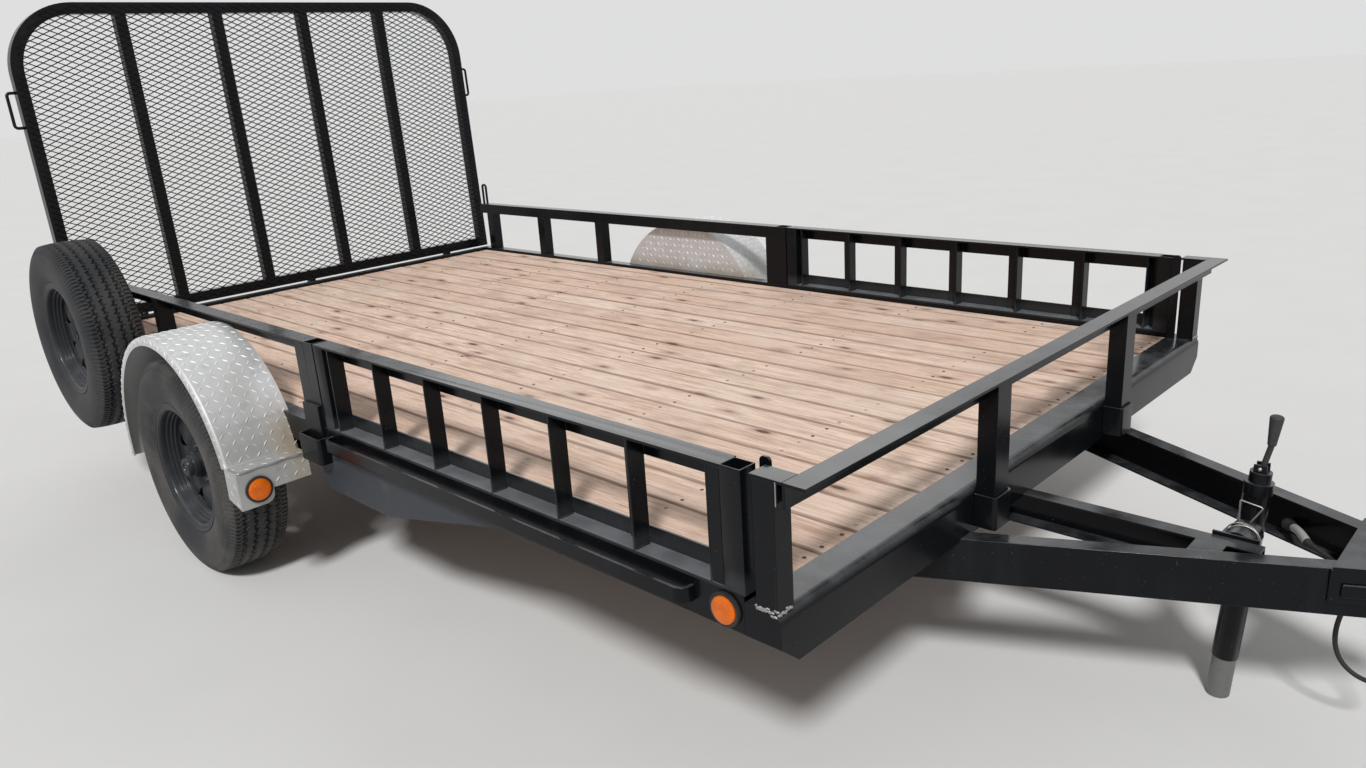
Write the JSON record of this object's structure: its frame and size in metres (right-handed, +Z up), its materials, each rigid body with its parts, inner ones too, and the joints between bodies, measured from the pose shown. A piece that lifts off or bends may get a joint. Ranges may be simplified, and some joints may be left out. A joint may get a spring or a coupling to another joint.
{
  "type": "utility trailer",
  "caption": "Black open utility trailer with a plank deck, tread plate fenders, side ramps, a mesh tail gate, a spare wheel and a swivel jack.",
  "frame": {"origin": "on the ground, midway between the coupler nose and the gate, on the middle plane", "axes": "+X towards the coupler (forward), +Y to the left of the trailer, +Z up"},
  "size_m": [4.7184, 2.518, 1.8274],
  "materials": {
    "black_paint": "semi-gloss",
    "tread_plate": "satin, weathered",
    "deck_wood": "matte, stained",
    "tyre_rubber": "matte, dusty",
    "hub_iron": "satin black",
    "zinc_steel": "dull zinc",
    "amber_plastic": "gloss",
    "red_plastic": "gloss",
    "black_rubber": "matte",
    "grey_sheath": "matte"
  },
  "bodies": {
    "chassis": {"amber_lenses": "amber_plastic", "axle_beam": "black_paint", "axle_clamps": "black_paint", "coupler": "black_paint", "coupler_latch": "zinc_steel", "cross_members": "black_paint", "deck_planks": "deck_wood", "fender_left": "tread_plate", "fender_right": "tread_plate", "front_member": "black_paint", "front_rail": "black_paint", "front_rail_posts": "black_paint", "gate_hinge_lugs": "black_paint", "harness_sheath": "grey_sheath", "jack_mount": "black_paint", "lamp_grommets": "black_rubber", "lead_plug": "black_rubber", "leaf_springs": "black_paint", "rail_keepers": "black_paint", "rear_member": "black_paint", "rear_side_rails": "black_paint", "rub_rails": "black_paint", "side_gussets": "black_paint", "side_members": "black_paint", "side_posts": "black_paint", "spare_bracket": "black_paint", "spare_rim": "black_paint", "spare_tyre": "tyre_rubber", "spring_hangers": "black_paint", "stake_pockets": "black_paint", "tail_lenses": "red_plastic", "tongue_beams": "black_paint", "tongue_centre_beam": "black_paint", "trailer_lead": "black_rubber"},
    "wheel_left": {"tyre_left": "tyre_rubber", "rim_left": "black_paint", "hub_left": "hub_iron"},
    "wheel_right": {"tyre_right": "tyre_rubber", "rim_right": "black_paint", "hub_right": "hub_iron"},
    "gate": {"gate_top": "black_paint", "gate_sides": "black_paint", "gate_base": "black_paint", "gate_bars": "black_paint", "gate_mesh": "black_paint", "gate_latches": "black_paint"},
    "jack": {"jack_tube": "black_paint", "jack_crank": "black_rubber"},
    "jack_leg": {"jack_leg": "zinc_steel"},
    "ramp_left": {"side_ramp_left": "black_paint"},
    "ramp_right": {"side_ramp_right": "black_paint"}
  },
  "joints": [
    {"name": "wheel_left_spin", "type": "hinge", "parent": "chassis", "child": "wheel_left", "pos_m": [-0.73181, 1.154, 0.344], "axis": [0, 1, 0], "continuous": true},
    {"name": "wheel_right_spin", "type": "hinge", "parent": "chassis", "child": "wheel_right", "pos_m": [-0.73181, -1.154, 0.344], "axis": [0, 1, 0], "continuous": true},
    {"name": "gate_swing", "type": "hinge", "parent": "chassis", "child": "gate", "pos_m": [-2.27182, 0, 0.535], "axis": [0, -1, 0], "range_deg": [0, 110]},
    {"name": "jack_swivel", "type": "hinge", "parent": "chassis", "child": "jack", "pos_m": [1.90518, 0, 0.416], "axis": [0, 1, 0], "range_deg": [0, 65]},
    {"name": "jack_extend", "type": "slide", "parent": "jack", "child": "jack_leg", "axis": [0.061, 0, 0.9981], "range_m": [0, 0.095]},
    {"name": "ramp_left_lift", "type": "slide", "parent": "chassis", "child": "ramp_left", "axis": [0, 0, 1], "range_m": [0, 0.25]},
    {"name": "ramp_right_lift", "type": "slide", "parent": "chassis", "child": "ramp_right", "axis": [0, 0, 1], "range_m": [0, 0.25]}
  ]
}
